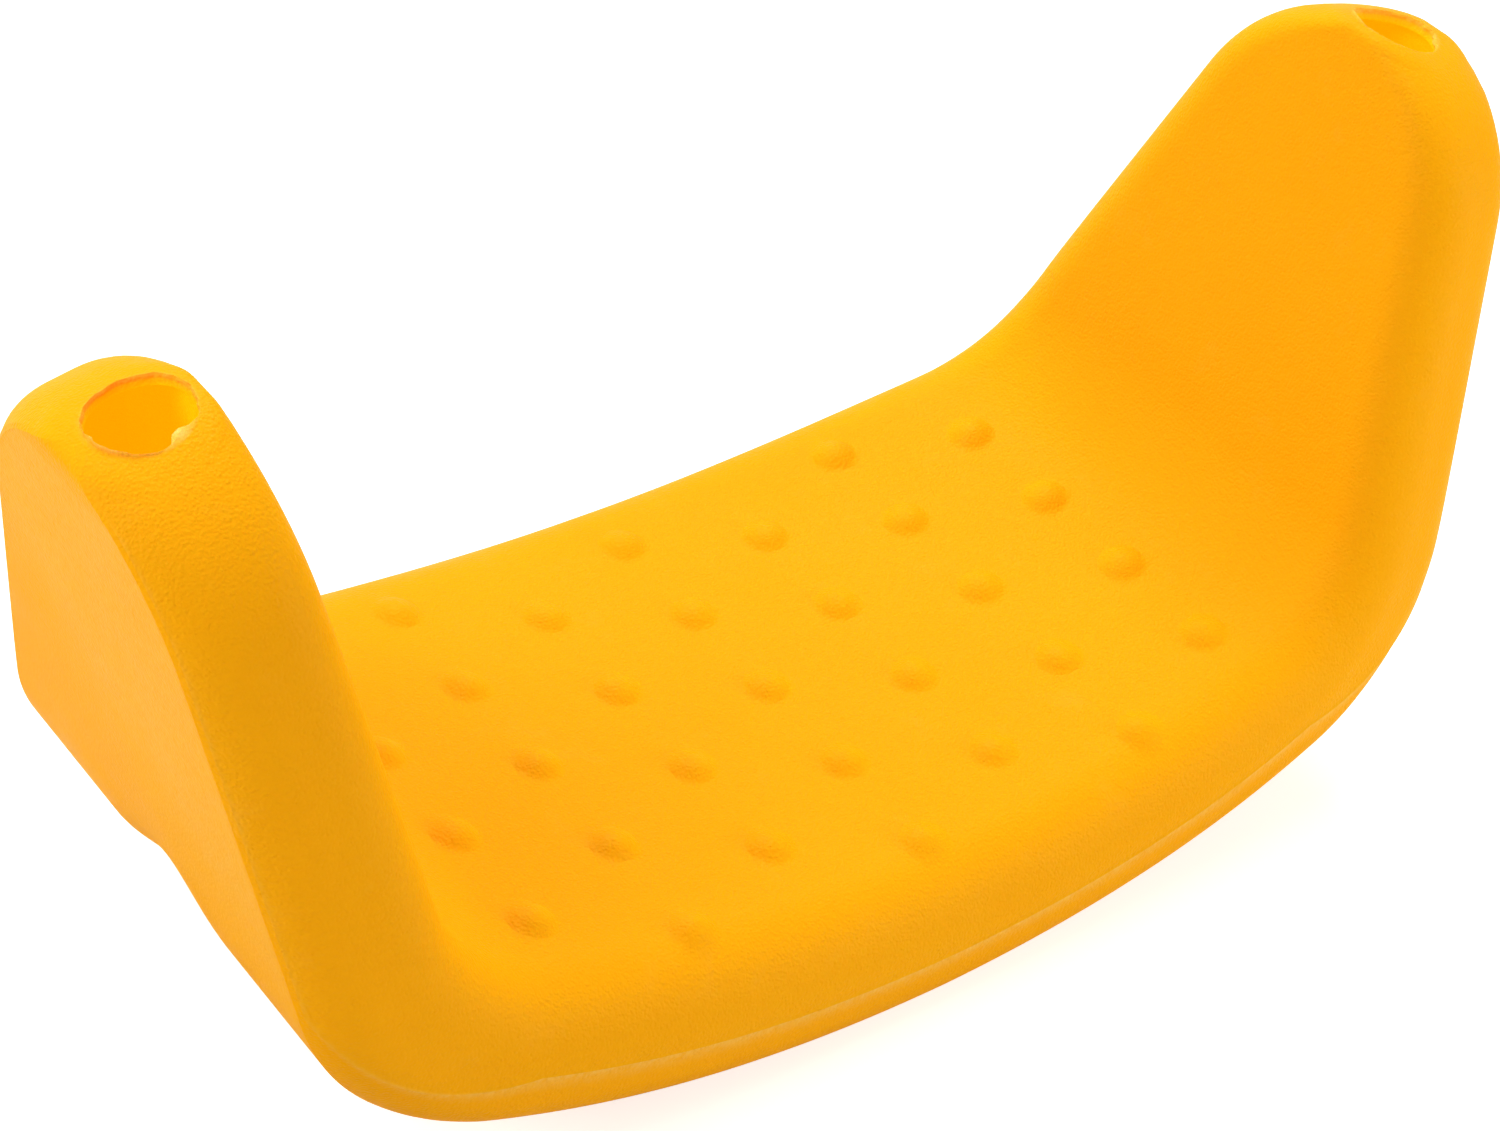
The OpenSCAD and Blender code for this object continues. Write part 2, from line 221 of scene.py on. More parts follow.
# Steps of the grid along half the seat (floor, bend, wing), over a tip, and round the section.
# The inside of the wall has one step for every COARSE steps of the outside.
RING_STEPS = (112, 28, 60)
TIP_STEPS = 24
SECTION_STEPS = (16, 12, 120, 12, 16, 12, 48, 12)
COARSE = 4
UPPER_STEPS = sum(SECTION_STEPS[:5])
LOWER_STEPS = sum(SECTION_STEPS[5:])


def run(counts):
    """Even steps over each unit in turn, counts[0] of them from 0 to 1 and so on, and the end."""
    parts = [n + np.arange(count) / count for n, count in enumerate(counts)]
    return np.concatenate(parts + [[len(counts)]])


half_rings = run(RING_STEPS)
rings = np.concatenate([-half_rings[:0:-1], half_rings])
steps = run(SECTION_STEPS)
upper_steps, lower_steps = steps[:UPPER_STEPS + 1], steps[UPPER_STEPS:]
loop_steps = steps[:-1]


class Skin:
    """Points and faces of one skin, gathered as whole arrays before they go into a mesh, with two
    masks. The mask of pale plastic is 1 where the plastic was pinched or cut and 0 where the mould
    gave it its surface; on the lower skin's outer faces it also holds a painted sheen, pale colour
    in place of the room's reflection. hollow is 1 on the inside of the wall, where a painted glow
    stands in for the light that comes through the plastic."""

    def __init__(self):
        self.points, self.trim, self.hollow, self.faces, self.count = [], [], [], [], 0

    def add(self, points, trim=0.0, hollow=0.0):
        """Takes in a grid of points and gives their numbers in the same grid."""
        shape = points.shape[:-1]
        numbers = self.count + np.arange(points[..., 0].size).reshape(shape)
        self.points.append(points.reshape(-1, 3))
        self.trim.append(np.broadcast_to(trim, shape).ravel())
        self.hollow.append(np.broadcast_to(hollow, shape).ravel())
        self.count += numbers.size
        return numbers

    def cells(self, n, turned=False, closed=False, keep=None):
        """Four-sided faces between neighbouring rows and columns of a grid of numbers."""
        if closed:
            n = np.concatenate([n, n[:, :1]], 1)
        quads = np.stack([n[:-1, :-1], n[1:, :-1], n[1:, 1:], n[:-1, 1:]], -1)
        quads = quads.reshape(-1, 4) if keep is None else quads[keep]
        self.faces.append(quads[:, ::-1] if turned else quads)

    def border(self, fine, coarse, turned=False):
        """Faces between a fine row of numbers and a coarse one: each takes COARSE fine steps and
        comes back over one coarse step."""
        run_up = np.concatenate([fine[:-1].reshape(-1, COARSE), fine[COARSE::COARSE, None]], 1)
        faces = np.concatenate([run_up, coarse[1:, None], coarse[:-1, None]], 1)
        self.faces.append(faces[:, ::-1] if turned else faces)

    def piece(self, name, material, crisp):
        """Puts the faces and the points that they use into a mesh, shades it smooth apart from the
        edges that turn by more than crisp, and links its object at the origin."""
        corners = np.concatenate([f.ravel() for f in self.faces])
        sizes = np.concatenate([np.full(len(f), f.shape[1]) for f in self.faces])
        used, corners = np.unique(corners, return_inverse=True)
        mesh = bpy.data.meshes.new(name)
        mesh.vertices.add(len(used))
        mesh.vertices.foreach_set("co", np.concatenate(self.points)[used].ravel())
        mesh.loops.add(len(corners))
        mesh.loops.foreach_set("vertex_index", corners.ravel().astype(np.int32))
        mesh.polygons.add(len(sizes))
        mesh.polygons.foreach_set("loop_start", (np.cumsum(sizes) - sizes).astype(np.int32))
        mesh.update(calc_edges=True)
        mesh.validate()
        for mask, values in (("trim", self.trim), ("hollow", self.hollow)):
            mesh.attributes.new(mask, "FLOAT", "POINT")
            mesh.attributes[mask].data.foreach_set("value", np.concatenate(values)[used])
        mesh.polygons.foreach_set("use_smooth", np.ones(len(sizes), bool))
        mesh.set_sharp_from_angle(angle=crisp)
        mesh.materials.append(material)
        piece = bpy.data.objects.new(name, mesh)
        bpy.context.scene.collection.objects.link(piece)
        return piece


def closed_row(row):
    """A row of numbers with its first one repeated at the end."""
    return np.append(row, row[0])


# Grip studs: low soft domes in seven columns across the floor, every other column set between its
# neighbours. The mould presses them out of the floor's own wall.
STUD_WIDTH = 0.0135
STUD_HEIGHT = 0.0027
STUD_ROUNDNESS = 1.2
STUD_COLUMN_PITCH = 0.037
STUD_ROW_PITCH = 0.033
STUD_SIDE_COLUMNS = 3
STUD_ROWS = 5
STUD_SHIFT = -0.003
STUD_STEPS = (1.5, 3.5)
STUD_RINGS = 1.6


def with_studs(points):
    """Moves points of the floor up into the studs: each is (1 - d^2) to the power STUD_ROUNDNESS
    high at a distance d from its axis, as a share of its half width, and its axis aims at the
    centre of the floor's arc."""
    raised = points.copy()
    for column in range(-STUD_SIDE_COLUMNS, STUD_SIDE_COLUMNS + 1):
        angle = column * STUD_COLUMN_PITCH / FLOOR_R
        axis = np.array([-np.sin(angle), 0, np.cos(angle)])
        rows = STUD_ROWS - abs(column) % 2
        places = (np.arange(rows) - (rows - 1) / 2) * STUD_ROW_PITCH + STUD_SHIFT
        foot = np.array([FLOOR_R * np.sin(angle), 0, floor_centre[1] - FLOOR_R * np.cos(angle)])
        gap = points - foot
        across = gap[..., 0] * np.cos(angle) + gap[..., 2] * np.sin(angle)
        beside = np.abs(gap[..., 1, None] - places).min(-1)
        away = (across ** 2 + beside ** 2) / (STUD_WIDTH / 2) ** 2
        raised += (STUD_HEIGHT * np.maximum(1 - away, 0) ** STUD_ROUNDNESS)[..., None] * axis
    return raised


# Rope holes in the tips: cut through the wall by hand after moulding. Their edges are a little
# ragged and pale, with a lip raised on one side and a thin torn tongue left in the hole.
rope_holes = {mount["name"]: mount for mount in frame["record"]["mounts"]}
INLET_R = rope_holes["rope_inlet_right"]["dims"]["r_mm"] / 1000
INLET_SHIFT = 0.002
INLET_EASE = 0.0005
RAGGED = 0.0002
LIP = 0.0009
TORN = 0.0024
TORN_SPREAD = 0.3
TIP_POLE = 3.9999
HALVINGS = 30
# Waves of the ragged edge, as count round the hole, phase and share, and of the tongue's edge, as
# count and share
RAGGED_WAVES = ((9, 1.0, 1.0), (17, 0.4, 1.0), (31, 0.0, 0.6))
TORN_WAVES = ((23, 0.35), (41, 0.2))
# Pale cut plastic, and painted glow in place of light through the cut wall, on the last rows of
# the outside and the five rows over the hole's edge
RIM_CUT = (0.05, 0.3, 0.8, 1, 0.8, 0.3, 0.0)
RIM_GLOW = (0.1, 0.2, 0.7, 1.0)
RIM_CUT_LEAST = 0.25
RIM_CUT_LIP = 0.5
RIM_CUT_TORN = 0.5

axis_up = np.array([wing_up[0], 0, wing_up[1]])
axis_in = np.array([wing_in[0], 0, wing_in[1]])
axis_foot = np.array([wing_foot[0], 0, wing_foot[1]]) + axis_in * INLET_SHIFT


def from_axis(points):
    """Height of points of the right tip along the rope hole's axis, and the rest of their place,
    square to that axis."""
    gap = points - axis_foot
    height = gap @ axis_up
    return height, gap - height[..., None] * axis_up


def to_hole(s, inset, radius):
    """Ring u at which each step s of the right tip comes within radius of the rope hole's axis,
    found by halving the range between the tip's start and its pole."""
    near, far = np.full(s.shape, float(TIP_START)), np.full(s.shape, TIP_POLE)
    for _ in range(HALVINGS):
        middle = (near + far) / 2
        inside = np.linalg.norm(from_axis(moulding(middle, s, inset))[1], axis=-1) < radius
        near, far = np.where(inside, near, middle), np.where(inside, middle, far)
    return (near + far) / 2


def tip_grids(lip_angle, lip_spread, torn_angle, torn_size):
    """Outside and inside of the right tip as grids, rows running from the tip's start to the rope
    hole. The outside goes on over the hole's edge, a ragged lip raised around lip_angle, and down
    through the wall. A thin torn tongue is left in the hole around torn_angle."""
    rows = np.linspace(0, 1, TIP_STEPS + 1)[:, None]
    hole = to_hole(loop_steps, 0.0, INLET_R + INLET_EASE)
    outside = moulding(*np.broadcast_arrays(TIP_START + (hole - TIP_START) * rows, loop_steps), 0.0)
    inner_hole = to_hole(loop_steps, WALL, INLET_R)
    top, spoke = from_axis(outside[-1])
    spoke = spoke / np.linalg.norm(spoke, axis=-1)[:, None]
    angle = np.arctan2(spoke[:, 1], spoke @ axis_in)
    bottom, _ = from_axis(moulding(inner_hole, loop_steps, WALL))
    ragged = RAGGED * sum(share * np.sin(count * angle + phase)
                          for count, phase, share in RAGGED_WAVES)
    swing = np.angle(np.exp(1j * (angle - lip_angle)))
    lip = LIP * np.exp(-(swing / lip_spread) ** 2)
    across = np.angle(np.exp(1j * (angle - torn_angle))) / TORN_SPREAD
    frayed = 1 + sum(share * np.sin(count * angle) for count, share in TORN_WAVES)
    torn = TORN * torn_size * np.exp(-across ** 4) * frayed
    # Rows over the edge, at its sharpest, just below it, halfway through the wall and at its inside
    radii = [INLET_R + INLET_EASE * 0.5 + ragged * 0.5 - torn * 0.5,
             INLET_R + ragged - torn,
             INLET_R + ragged * 0.5 - torn * 0.6,
             INLET_R + ragged * 0.5,
             np.full(angle.shape, INLET_R)]
    heights = [top + lip + torn * 0.1,
               top - INLET_EASE + lip * 0.8,
               top - INLET_EASE * 2 + lip * 0.5,
               (top + bottom) / 2,
               bottom]
    edge = [axis_foot + axis_up * h[:, None] + spoke * r[:, None] for r, h in zip(radii, heights)]
    inner_rings = TIP_START + (inner_hole[::COARSE] - TIP_START) * rows[:-1:COARSE]
    inside = moulding(*np.broadcast_arrays(inner_rings, loop_steps[::COARSE]), WALL)
    whole = np.concatenate([outside, np.stack(edge)])
    rough_cut = np.concatenate([np.zeros(len(whole) - len(RIM_CUT)), RIM_CUT])[:, None]
    pale = RIM_CUT_LEAST + RIM_CUT_LIP * lip / LIP + RIM_CUT_TORN * torn / TORN
    trim = rough_cut * np.clip(pale, 0, 1)
    glow = np.concatenate([np.zeros(len(whole) - len(RIM_GLOW)), RIM_GLOW])[:, None]
    return whole, inside, trim, glow


# Share of pale pinched plastic along the seam, on the floor and on the wings, and its reach
SEAM_PALE = 0.5
SEAM_PALE_WING = 0.1
SEAM_PALE_SPREAD = 0.09


def seam_trim(u, s):
    """Share of pinched plastic along the seam, most along the floor and little along the wings'
    creases, falling off over the first steps beside it."""
    share = SEAM_PALE + (SEAM_PALE_WING - SEAM_PALE) * np.clip(np.abs(u) - 1, 0, 1)
    return share * np.exp(-(from_seam(s) / SEAM_PALE_SPREAD) ** 2)


upper = Skin()
ring_grid, step_grid = np.meshgrid(rings, upper_steps, indexing="ij")
top_points = moulding(ring_grid, step_grid, 0.0, FLASH_HEIGHT)
on_top = (step_grid > STUD_STEPS[0]) & (step_grid < STUD_STEPS[1])
on_top &= np.abs(ring_grid) < STUD_RINGS
top_points = np.where(on_top[..., None], with_studs(top_points), top_points)
top = upper.add(top_points, seam_trim(ring_grid, step_grid))
coarse_rings, coarse_steps = ring_grid[::COARSE, ::COARSE], step_grid[::COARSE, ::COARSE]
hollow = upper.add(moulding(coarse_rings, coarse_steps, WALL), hollow=1.0)
upper.cells(top)
upper.cells(hollow, turned=True)
upper.border(top[:, 0], hollow[:, 0], turned=True)
upper.border(top[:, -1], hollow[:, -1])

# Where the lip stands up, how far it runs, and where and how far the tongue is torn, on each side
TIP_CUTS = {1: (np.radians(43), 0.7, np.radians(-137), 0.5),
            -1: (np.radians(-148), 0.9, np.radians(-68), 1.0)}
COARSE_UPPER = UPPER_STEPS // COARSE
for side, cut in TIP_CUTS.items():
    outside, inside, trim, glow = tip_grids(*cut)
    mirror = np.array([side, 1, 1])
    left = side < 0
    last = 0 if left else -1
    cap = upper.add(outside[1:] * mirror, trim[1:], glow[1:])
    pocket = upper.add(inside[1:] * mirror, hollow=1.0)
    start = upper.add(outside[0, UPPER_STEPS + 1:] * mirror)
    start_in = upper.add(inside[0, COARSE_UPPER + 1:] * mirror, hollow=1.0)
    cap = np.concatenate([np.concatenate([top[last], start])[None], cap])
    pocket = np.concatenate([np.concatenate([hollow[last], start_in])[None], pocket])
    upper.cells(cap, turned=left, closed=True)
    upper.cells(pocket, turned=not left, closed=True)
    upper.border(closed_row(cap[-1]), closed_row(pocket[-1]), turned=not left)
    upper.border(closed_row(cap[0])[UPPER_STEPS:], closed_row(pocket[0])[COARSE_UPPER:],
                 turned=left)


# Scales of the noises in the plastic's surface, per metre
TINT_SCALE = 16
RUB_SCALE = 55
FRAY_SCALE = 420
SHEEN_SCALE = 40
WAVE_SCALE = 30
CELL_SCALE = 1200
SPECK_SCALE = 1500
# What they are carried from and to: low and high of the noise, then low and high of the result
TINT_RANGE = (0.35, 0.7, 0.0, 0.22)
RUB_RANGE = (0.58, 0.8, 0.0, 1.0)
FRAY_RANGE = (0.3, 0.6, 0.35, 1.0)
SHEEN_RANGE = (0.3, 0.7, 0.36, 0.46)
CELL_RANGE = (0.0, 0.8, 1.0, 0.0)
CELL_SOFTNESS = 0.6
CUT_DULLNESS = 0.25
WAVE_HEIGHT = 2.0
GRAIN_DEPTH = 0.0002
GRAIN_STRENGTH = 0.8
# Colours that both skins share: pale plastic, which also gives the painted sheen, and the painted
# glow of the inside
PALE_PLASTIC_AND_SHEEN = (0.98, 0.66, 0.16)
PAINTED_INNER_GLOW = (0.60, 0.23, 0.0)


def moulded_surface():
    """Node group for the moulded plastic: fine leather-like grain in the height, slow changes of
    tint where the wall is thinner, faint pale rubbing, and pale colour where the mask of pale
    plastic is high: cut or pinched plastic, and on the lower skin's outer faces a painted sheen in
    place of the room's reflection."""
    group = bpy.data.node_groups.new("moulded_surface", "ShaderNodeTree")
    face = group.interface
    for name, kind, value in (("Plastic", "NodeSocketColor", (0.9, 0.4, 0.01, 1)),
                              ("Deep", "NodeSocketColor", (0.8, 0.3, 0.005, 1)),
                              ("Pale", "NodeSocketColor", (1, 0.7, 0.3, 1)),
                              ("Trim and sheen", "NodeSocketFloat", 0.0),
                              ("Rubbing", "NodeSocketFloat", 0.2)):
        face.new_socket(name, in_out="INPUT", socket_type=kind).default_value = value
    for name, kind in (("Colour", "NodeSocketColor"), ("Roughness", "NodeSocketFloat"),
                       ("Height", "NodeSocketFloat")):
        face.new_socket(name, in_out="OUTPUT", socket_type=kind)
    nodes, links = group.nodes, group.links
    given, result = nodes.new("NodeGroupInput"), nodes.new("NodeGroupOutput")
    place = nodes.new("ShaderNodeTexCoord").outputs["Object"]

    def noise(scale, detail, roughness=0.5):
        """Cloudy noise in the piece's own coordinates."""
        node = nodes.new("ShaderNodeTexNoise")
        node.inputs["Scale"].default_value = scale
        node.inputs["Detail"].default_value = detail
        node.inputs["Roughness"].default_value = roughness
        links.new(place, node.inputs["Vector"])
        return node.outputs["Fac"]

    def ranged(value, low, high, to_low, to_high):
        """A value scaled from the range low to high to the range to_low to to_high, and clamped."""
        node = nodes.new("ShaderNodeMapRange")
        for name, number in (("From Min", low), ("From Max", high),
                             ("To Min", to_low), ("To Max", to_high)):
            node.inputs[name].default_value = number
        links.new(value, node.inputs["Value"])
        return node.outputs["Result"]

    def maths(operation, a, b):
        """Sum of two values, or their product held between 0 and 1."""
        node = nodes.new("ShaderNodeMath")
        node.operation = operation
        node.use_clamp = operation == "MULTIPLY"
        for socket, value in zip(node.inputs, (a, b)):
            if isinstance(value, (int, float)):
                socket.default_value = value
            else:
                links.new(value, socket)
        return node.outputs[0]

    def mixed(factor, a, b):
        """Colour that lies the share factor of the way from colour a to colour b."""
        node = nodes.new("ShaderNodeMix")
        node.data_type = "RGBA"
        links.new(factor, node.inputs["Factor"])
        links.new(a, node.inputs["A"])
        links.new(b, node.inputs["B"])
        return node.outputs["Result"]

    tint = ranged(noise(TINT_SCALE, detail=2), *TINT_RANGE)
    colour = mixed(tint, given.outputs["Plastic"], given.outputs["Deep"])
    rubbed = ranged(noise(RUB_SCALE, detail=6, roughness=0.7), *RUB_RANGE)
    rub = maths("MULTIPLY", rubbed, given.outputs["Rubbing"])
    colour = mixed(rub, colour, given.outputs["Pale"])
    # Pale where the mask is high: cut plastic, and on the outer faces a painted sheen
    fray = ranged(noise(FRAY_SCALE, detail=3), *FRAY_RANGE)
    frayed = maths("MULTIPLY", given.outputs["Trim and sheen"], fray)
    colour = mixed(frayed, colour, given.outputs["Pale"])
    links.new(colour, result.inputs["Colour"])
    sheen = ranged(noise(SHEEN_SCALE, detail=4), *SHEEN_RANGE)
    dull = maths("ADD", sheen, maths("MULTIPLY", frayed, CUT_DULLNESS))
    links.new(dull, result.inputs["Roughness"])
    cells = nodes.new("ShaderNodeTexVoronoi")
    cells.feature = "SMOOTH_F1"
    cells.inputs["Scale"].default_value = CELL_SCALE
    cells.inputs["Smoothness"].default_value = CELL_SOFTNESS
    links.new(place, cells.inputs["Vector"])
    hollows = ranged(cells.outputs["Distance"], *CELL_RANGE)
    grain = maths("ADD", hollows, noise(SPECK_SCALE, detail=2))
    waves = maths("MULTIPLY", noise(WAVE_SCALE, detail=2), WAVE_HEIGHT)
    links.new(maths("ADD", grain, waves), result.inputs["Height"])
    return group


surface_group = moulded_surface()


def yellow_plastic(name, plastic, deep, rubbing):
    """Through-coloured yellow plastic with the moulded surface and a soft sheen. The inside of the
    wall glows a little, in place of the light that comes through the thin plastic."""
    material = bpy.data.materials.new(name)
    material.use_nodes = True
    nodes, links = material.node_tree.nodes, material.node_tree.links
    shader = nodes["Principled BSDF"]
    surface = nodes.new("ShaderNodeGroup")
    surface.node_tree = surface_group
    surface.inputs["Plastic"].default_value = (*plastic, 1)
    surface.inputs["Deep"].default_value = (*deep, 1)
    surface.inputs["Pale"].default_value = (*PALE_PLASTIC_AND_SHEEN, 1)
    surface.inputs["Rubbing"].default_value = rubbing
    # Mask of pale plastic, which on the lower skin's outer faces also holds the painted sheen
    trim = nodes.new("ShaderNodeAttribute")
    trim.attribute_name = "trim"
    links.new(trim.outputs["Fac"], surface.inputs["Trim and sheen"])
    bump = nodes.new("ShaderNodeBump")
    bump.inputs["Strength"].default_value = GRAIN_STRENGTH
    bump.inputs["Distance"].default_value = GRAIN_DEPTH
    links.new(surface.outputs["Height"], bump.inputs["Height"])
    links.new(surface.outputs["Colour"], shader.inputs["Base Color"])
    links.new(surface.outputs["Roughness"], shader.inputs["Roughness"])
    links.new(bump.outputs["Normal"], shader.inputs["Normal"])
    # Painted glow: emission on the inside of the wall, in place of the light that comes through it
    inside = nodes.new("ShaderNodeAttribute")
    inside.attribute_name = "hollow"
    glow = nodes.new("ShaderNodeMix")
    glow.data_type = "RGBA"
    glow.inputs["A"].default_value = (0, 0, 0, 1)
    glow.inputs["B"].default_value = (*PAINTED_INNER_GLOW, 1)
    links.new(inside.outputs["Fac"], glow.inputs["Factor"])
    links.new(glow.outputs["Result"], shader.inputs["Emission Color"])
    shader.inputs["Emission Strength"].default_value = 1.0
    shader.inputs["IOR"].default_value = 1.3
    shader.inputs["Specular IOR Level"].default_value = 0.05
    shader.inputs["Subsurface Weight"].default_value = 0.12
    shader.inputs["Subsurface Radius"].default_value = (1.0, 0.35, 0.03)
    shader.inputs["Subsurface Scale"].default_value = 0.003
    return material


CRISP = np.radians(24)
seat_yellow = yellow_plastic("seat_yellow", plastic=(0.94, 0.43, 0.004),
                             deep=(0.92, 0.38, 0.002), rubbing=0.06)
seat_upper = upper.piece("seat_upper", seat_yellow, CRISP)
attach(seat_upper, "root")
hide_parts("upper_skin")


# Lower skin: the rocker-shaped underside and the flat outer faces of both wings, of the same
# plastic and blown in the same shot. A dimple in each bend holds the hole where the rope comes out,
# so that the knot below it sits in the hollow.
DIMPLE_DEPTH = 0.006
DIMPLE_R = 0.030
DIMPLE_STRETCH = 1.8
OUTLET_SHIFT = 0.006
OUTLET_R = rope_holes["rope_outlet_right"]["dims"]["r_mm"] / 1000
OUTLET_EASE = 0.0006
PATCH_ROWS = 8
# Pale cut plastic on the last row of the patch round the outlet and down through the wall
OUTLET_CUT = (0.7, 1, 0.6, 0.2)
# Painted sheen on the outer faces, pale colour in place of the room's reflection: its share, the
# ring where it starts, and how it slants and fades in
PAINTED_SHEEN = 0.2
PAINTED_SHEEN_FROM = 2.45
PAINTED_SHEEN_SLANT = 0.7
PAINTED_SHEEN_FADE = 0.4
FACE_STEPS = (6, 7)
# Painted glow of the inside, in place of light through the wall: it grows with height from
# GLOW_FROM over GLOW_RISE, from a least share to 1
GLOW_FROM = 0.04
GLOW_RISE = 0.1
GLOW_LEAST = 0.25

outlet_foot = wing_foot - wing_in * OUTLET_SHIFT
outlet_side = (outer_centre - outlet_foot) @ wing_in
outlet_up = (outer_centre - outlet_foot) @ wing_up - np.sqrt(OUTER_BEND ** 2 - outlet_side ** 2)
outlet_point = outlet_foot + wing_up * outlet_up
outlet_in = (outer_centre - outlet_point) / np.linalg.norm(outer_centre - outlet_point)
outlet_angle = np.arctan2(-outlet_in[0], outlet_in[1])


def dimpled(points):
    """Moves points of the lower skin in round both rope outlets: by DIMPLE_DEPTH (1 - d^2)^2 along
    the outlet's axis, at a distance d from that axis as a share of the dimple's radius, which is
    DIMPLE_STRETCH times as long towards the wing."""
    gap = np.stack([np.abs(points[..., 0]), points[..., 2]], -1) - outlet_point
    across = gap @ np.array([outlet_in[1], -outlet_in[0]])
    across = np.where(across > 0, across / DIMPLE_STRETCH, across)
    away = (across ** 2 + points[..., 1] ** 2) / DIMPLE_R ** 2
    push = DIMPLE_DEPTH * np.maximum(1 - away, 0) ** 2
    shift = np.stack([np.where(points[..., 0] < 0, -1, 1) * outlet_in[0] * push, 0 * push,
                      outlet_in[1] * push], -1)
    return points + shift


def bend_point(angle, y, inset, side):
    """Point of the outer bend at an angle from straight down and a place y across it, dimpled."""
    xz = on_arc(outer_centre, OUTER_BEND - inset, angle)
    return dimpled(np.stack([side * xz[..., 0], y, xz[..., 1]], -1))


def round_block(n, first, last, near, far):
    """Numbers round the edge of a block of a grid, from ring first to last and step near to far."""
    return np.concatenate([n[first:last, near], n[last, near:far], n[last:first:-1, far],
                           n[first, far:near:-1]])


lower = Skin()
ring_grid, step_grid = np.meshgrid(rings, lower_steps, indexing="ij")
base_points = dimpled(moulding(ring_grid, step_grid, 0.0, FLASH_HEIGHT))
# Painted sheen on the flat outer faces: pale colour in place of the room's reflection, which
# reaches further down along the front crease. It goes into the same mask as the pinched seam
past = np.abs(ring_grid) - PAINTED_SHEEN_FROM + PAINTED_SHEEN_SLANT * (step_grid - FACE_STEPS[0])
on_face = (step_grid > FACE_STEPS[0]) & (step_grid < FACE_STEPS[1])
painted_sheen = np.where(on_face, PAINTED_SHEEN * np.clip(past / PAINTED_SHEEN_FADE, 0, 1), 0)
base = lower.add(base_points, np.maximum(seam_trim(ring_grid, step_grid), painted_sheen))
coarse_rings, coarse_steps = ring_grid[::COARSE, ::COARSE], step_grid[::COARSE, ::COARSE]
base_in_points = dimpled(moulding(coarse_rings, coarse_steps, WALL))
inner_light = np.clip((base_in_points[..., 2] - GLOW_FROM) / GLOW_RISE, GLOW_LEAST, 1)
base_in = lower.add(base_in_points, hollow=inner_light)

# Blocks of the grid that give way to the rope outlets, wide enough to leave a patch round each
# hole: rings counted from the start of the bend, and steps to each side of the middle
BLOCK_RINGS = (4, 16)
BLOCK_STEPS = 4
middle_ring = sum(RING_STEPS)
bend_ring = middle_ring + RING_STEPS[0]
right_block = (bend_ring + BLOCK_RINGS[0], bend_ring + BLOCK_RINGS[1])
blocks = {1: right_block, -1: (2 * middle_ring - right_block[1], 2 * middle_ring - right_block[0])}
near, far = LOWER_STEPS // 2 - BLOCK_STEPS, LOWER_STEPS // 2 + BLOCK_STEPS
kept = np.ones((len(rings) - 1, LOWER_STEPS), bool)
kept_in = np.ones((kept.shape[0] // COARSE, kept.shape[1] // COARSE), bool)
for first, last in blocks.values():
    kept[first:last, near:far] = False
    kept_in[first // COARSE:last // COARSE, near // COARSE:far // COARSE] = False
lower.cells(base, keep=kept)
lower.cells(base_in, turned=True, keep=kept_in)
lower.border(base[:, 0], base_in[:, 0], turned=True)
lower.border(base[:, -1], base_in[:, -1])
lower.border(base[0], base_in[0])
lower.border(base[-1], base_in[-1], turned=True)

for side, (first, last) in blocks.items():
    ring_edge = round_block(base, first, last, near, far)
    ring_edge_in = round_block(base_in, first // COARSE, last // COARSE,
                               near // COARSE, far // COARSE)
    at_ring, at_step = np.divmod(ring_edge - base[0, 0], LOWER_STEPS + 1)
    angle = outer_start + (outer_end - outer_start) * (np.abs(rings[at_ring]) - 1)
    y = base_points[at_ring, at_step, 1]
    spin = np.arctan2(y, OUTER_BEND * (angle - outlet_angle))
    hole = [outlet_angle + np.arcsin((OUTLET_R + ease) * np.cos(spin) / OUTER_BEND)
            for ease in (OUTLET_EASE, 0.0)]
    mix = np.linspace(0, 1, PATCH_ROWS + 1)[1:, None]
    patch = bend_point(angle + (hole[0] - angle) * mix,
                       y + ((OUTLET_R + OUTLET_EASE) * np.sin(spin) - y) * mix, 0.0, side)
    wall_rows = np.stack([bend_point(hole[1], OUTLET_R * np.sin(spin), inset, side)
                          for inset in (OUTLET_EASE, WALL / 2, WALL)])
    trim = np.concatenate([np.zeros(PATCH_ROWS - 1), OUTLET_CUT])[:, None]
    rows = lower.add(np.concatenate([patch, wall_rows]), trim)
    rows = np.concatenate([ring_edge[None], rows])
    lower.cells(rows, turned=True, closed=True)
    lower.border(closed_row(rows[-1]), closed_row(ring_edge_in))

base_yellow = yellow_plastic("base_yellow", plastic=(0.94, 0.42, 0.003),
                             deep=(0.92, 0.37, 0.002), rubbing=0.08)
seat_lower = lower.piece("seat_lower", base_yellow, CRISP)
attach(seat_lower, "root")
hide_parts("lower_skin")


# Floor: a wide matt white sheet under the seat, bright enough to read as plain white paper. It is
# clear from below, so that the underside can be looked at.
FLOOR_SIZE = 6.0
GLOW_REACH = (0.5, 2.0)
FLOOR_GLOW = (0.66, 0.85)
corner = FLOOR_SIZE / 2
floor_mesh = bpy.data.meshes.new("studio_floor")
corners = [(-corner, -corner, 0), (corner, -corner, 0), (corner, corner, 0), (-corner, corner, 0)]
floor_mesh.from_pydata(corners, [], [(0, 1, 2, 3)])
paper = bpy.data.materials.new("white_paper")
paper.use_nodes = True
nodes, links = paper.node_tree.nodes, paper.node_tree.links
shader = nodes["Principled BSDF"]
shader.inputs["Base Color"].default_value = (0.8, 0.8, 0.8, 1)
shader.inputs["Roughness"].default_value = 0.9
shader.inputs["Specular IOR Level"].default_value = 0.0
shader.inputs["Emission Color"].default_value = (1, 1, 1, 1)
spot = nodes.new("ShaderNodeVectorMath")
spot.operation = "LENGTH"
